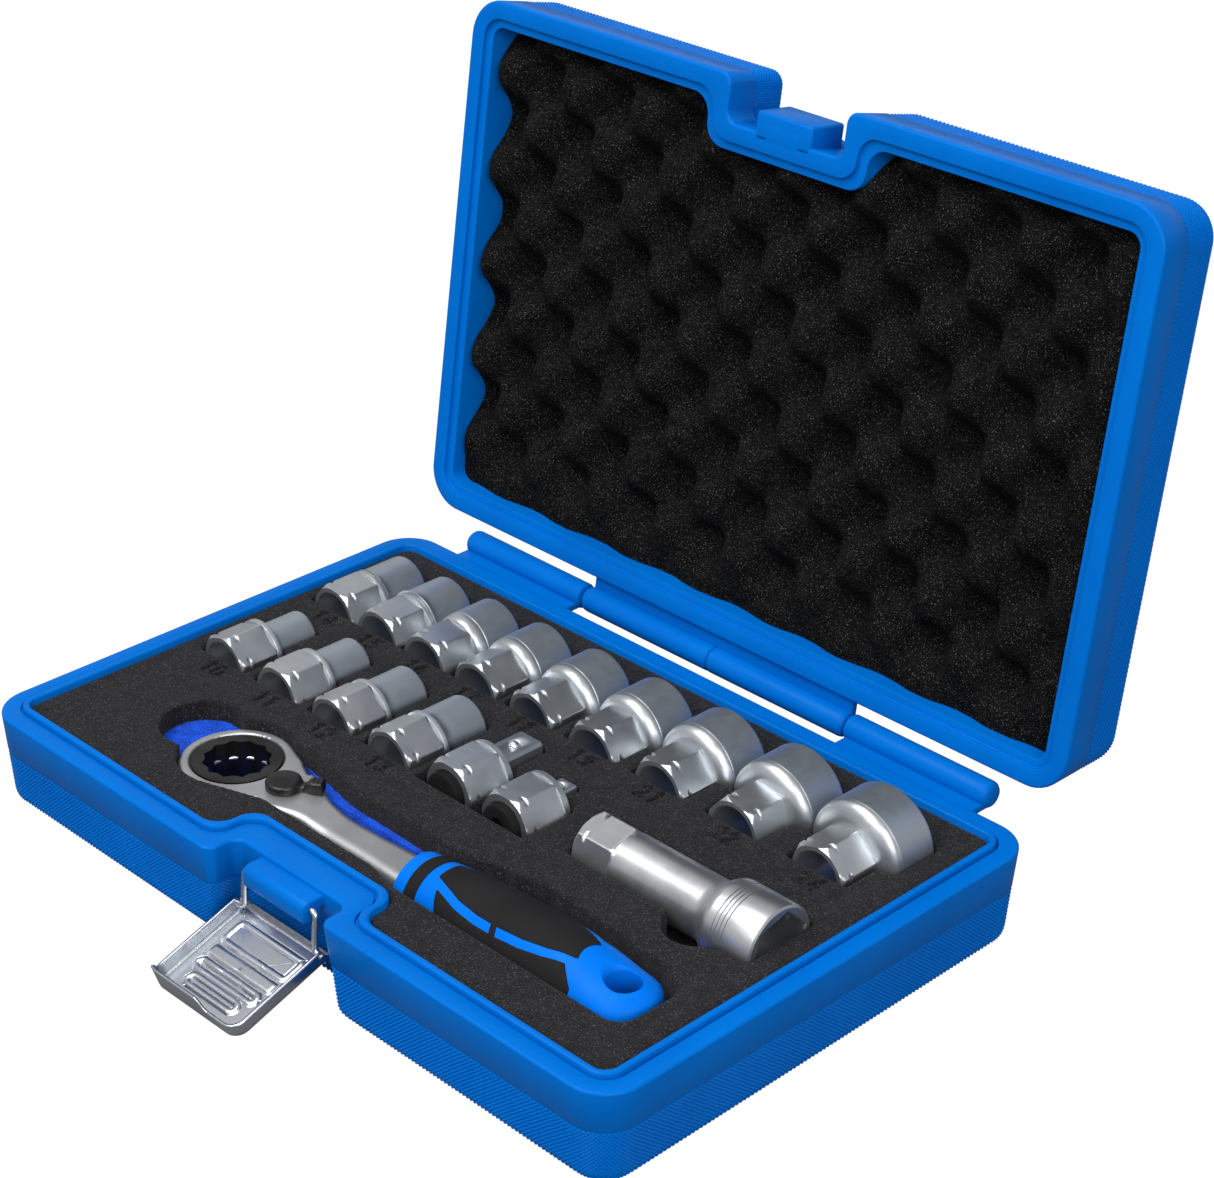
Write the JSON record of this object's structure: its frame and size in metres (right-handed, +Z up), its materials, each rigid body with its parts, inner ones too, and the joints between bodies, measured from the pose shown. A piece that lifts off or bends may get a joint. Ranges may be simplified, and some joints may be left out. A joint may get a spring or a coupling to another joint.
{
  "type": "socket wrench set in case",
  "caption": "Hinged blue plastic case, open, with foam inlays holding a go-through ratchet wrench, sockets, square drive adaptors and an extension bar.",
  "frame": {"origin": "centre of the flat underside of the base", "axes": "X along the hinge, -Y towards the latch, +Z up"},
  "size_m": [0.25, 0.242, 0.1968],
  "materials": {
    "case_blue": "semi-matt moulded polypropylene, fine diamond grain on the outer sides",
    "black_foam": "closed-cell foam, matt",
    "blue_foam": "closed-cell foam, speckled",
    "crate_foam": "open-cell egg-crate foam, speckled charcoal",
    "zinc_steel": "zinc plated",
    "bare_steel": "bright steel",
    "wrench_chrome": "satin chrome",
    "socket_chrome": "satin chrome",
    "ring_black": "blackened steel",
    "handle_blue": "hard plastic, semi-gloss",
    "grip_black": "soft moulded grip, matt",
    "plug_black": "black plastic"
  },
  "bodies": {
    "case": {"base_shell": "case_blue", "hinge_pin": "bare_steel", "tool_foam": "black_foam", "foam_backing": "blue_foam"},
    "lid": {"lid_shell": "case_blue", "lid_foam": "crate_foam"},
    "bail": {"latch_bail": "zinc_steel"},
    "plate": {"latch_plate": "zinc_steel"},
    "wrench": {"wrench_body": "wrench_chrome", "handle_core": "handle_blue", "handle_grip": "grip_black", "ring_retainer": "bare_steel", "detent_ball": "bare_steel", "detent_spring": "bare_steel"},
    "ratchet": {"ratchet_ring": "ring_black", "bore_spring_ring": "bare_steel"},
    "reverser": {"reversing_lever": "wrench_chrome", "pawl": "bare_steel"},
    "socket_10": {"socket_10": "socket_chrome"},
    "socket_11": {"socket_11": "socket_chrome"},
    "socket_12": {"socket_12": "socket_chrome"},
    "socket_13": {"socket_13": "socket_chrome"},
    "socket_14": {"socket_14": "socket_chrome"},
    "socket_15": {"socket_15": "socket_chrome"},
    "socket_16": {"socket_16": "socket_chrome"},
    "socket_17": {"socket_17": "socket_chrome"},
    "socket_18": {"socket_18": "socket_chrome"},
    "socket_19": {"socket_19": "socket_chrome"},
    "socket_21": {"socket_21": "socket_chrome"},
    "socket_22": {"socket_22": "socket_chrome"},
    "socket_24": {"socket_24": "socket_chrome"},
    "large_adaptor": {"large_adaptor_body": "socket_chrome", "large_adaptor_plug": "plug_black", "large_adaptor_spring": "bare_steel"},
    "large_adaptor_ball": {"large_adaptor_ball": "bare_steel"},
    "small_adaptor": {"small_adaptor_body": "socket_chrome", "small_adaptor_plug": "plug_black", "small_adaptor_spring": "bare_steel"},
    "small_adaptor_ball": {"small_adaptor_ball": "bare_steel"},
    "extension": {"extension_body": "socket_chrome", "extension_spring_ring": "bare_steel"}
  },
  "joints": [
    {"name": "lid_hinge", "type": "hinge", "parent": "case", "child": "lid", "pos_m": [0, 0.08789, 0.03015], "axis": [-1, 0, 0], "range_deg": [-97.84, 0], "deforming": ["lid_foam"]},
    {"name": "bail_swing", "type": "hinge", "parent": "case", "child": "bail", "pos_m": [0, -0.0744, 0.0248], "axis": [1, 0, 0], "range_deg": [-100, 0]},
    {"name": "plate_swing", "type": "hinge", "parent": "bail", "child": "plate", "pos_m": [0, -0.07541, 0.01324], "axis": [-1, 0, 0], "range_deg": [0, 109]},
    {"name": "wrench_lift", "type": "slide", "parent": "case", "child": "wrench", "axis": [0, 0, 1], "range_m": [0, 0.07]},
    {"name": "ratchet_spin", "type": "hinge", "parent": "wrench", "child": "ratchet", "pos_m": [-0.057, -0.0435, 0.0206], "axis": [0, 0, 1], "continuous": true},
    {"name": "lever_flip", "type": "hinge", "parent": "wrench", "child": "reverser", "pos_m": [-0.0364, -0.0435, 0.0206], "axis": [0, 0, 1], "range_deg": [-66, 0]},
    {"name": "lift_10", "type": "slide", "parent": "case", "child": "socket_10", "axis": [0, 0, 1], "range_m": [0, 0.07]},
    {"name": "lift_11", "type": "slide", "parent": "case", "child": "socket_11", "axis": [0, 0, 1], "range_m": [0, 0.07]},
    {"name": "lift_12", "type": "slide", "parent": "case", "child": "socket_12", "axis": [0, 0, 1], "range_m": [0, 0.07]},
    {"name": "lift_13", "type": "slide", "parent": "case", "child": "socket_13", "axis": [0, 0, 1], "range_m": [0, 0.07]},
    {"name": "lift_14", "type": "slide", "parent": "case", "child": "socket_14", "axis": [0, 0, 1], "range_m": [0, 0.07]},
    {"name": "lift_15", "type": "slide", "parent": "case", "child": "socket_15", "axis": [0, 0, 1], "range_m": [0, 0.07]},
    {"name": "lift_16", "type": "slide", "parent": "case", "child": "socket_16", "axis": [0, 0, 1], "range_m": [0, 0.07]},
    {"name": "lift_17", "type": "slide", "parent": "case", "child": "socket_17", "axis": [0, 0, 1], "range_m": [0, 0.07]},
    {"name": "lift_18", "type": "slide", "parent": "case", "child": "socket_18", "axis": [0, 0, 1], "range_m": [0, 0.07]},
    {"name": "lift_19", "type": "slide", "parent": "case", "child": "socket_19", "axis": [0, 0, 1], "range_m": [0, 0.07]},
    {"name": "lift_21", "type": "slide", "parent": "case", "child": "socket_21", "axis": [0, 0, 1], "range_m": [0, 0.07]},
    {"name": "lift_22", "type": "slide", "parent": "case", "child": "socket_22", "axis": [0, 0, 1], "range_m": [0, 0.07]},
    {"name": "lift_24", "type": "slide", "parent": "case", "child": "socket_24", "axis": [0, 0, 1], "range_m": [0, 0.07]},
    {"name": "large_adaptor_lift", "type": "slide", "parent": "case", "child": "large_adaptor", "axis": [0, 0, 1], "range_m": [0, 0.07]},
    {"name": "large_ball_press", "type": "slide", "parent": "large_adaptor", "child": "large_adaptor_ball", "axis": [0, 0, -1], "range_m": [0, 0.001], "stiffness_N_per_m": 400, "deforming": ["large_adaptor_spring"]},
    {"name": "small_adaptor_lift", "type": "slide", "parent": "case", "child": "small_adaptor", "axis": [0, 0, 1], "range_m": [0, 0.07]},
    {"name": "small_ball_press", "type": "slide", "parent": "small_adaptor", "child": "small_adaptor_ball", "axis": [0, 0, -1], "range_m": [0, 0.00065], "stiffness_N_per_m": 400, "deforming": ["small_adaptor_spring"]},
    {"name": "extension_lift", "type": "slide", "parent": "case", "child": "extension", "axis": [0, 0, 1], "range_m": [0, 0.07]}
  ]
}
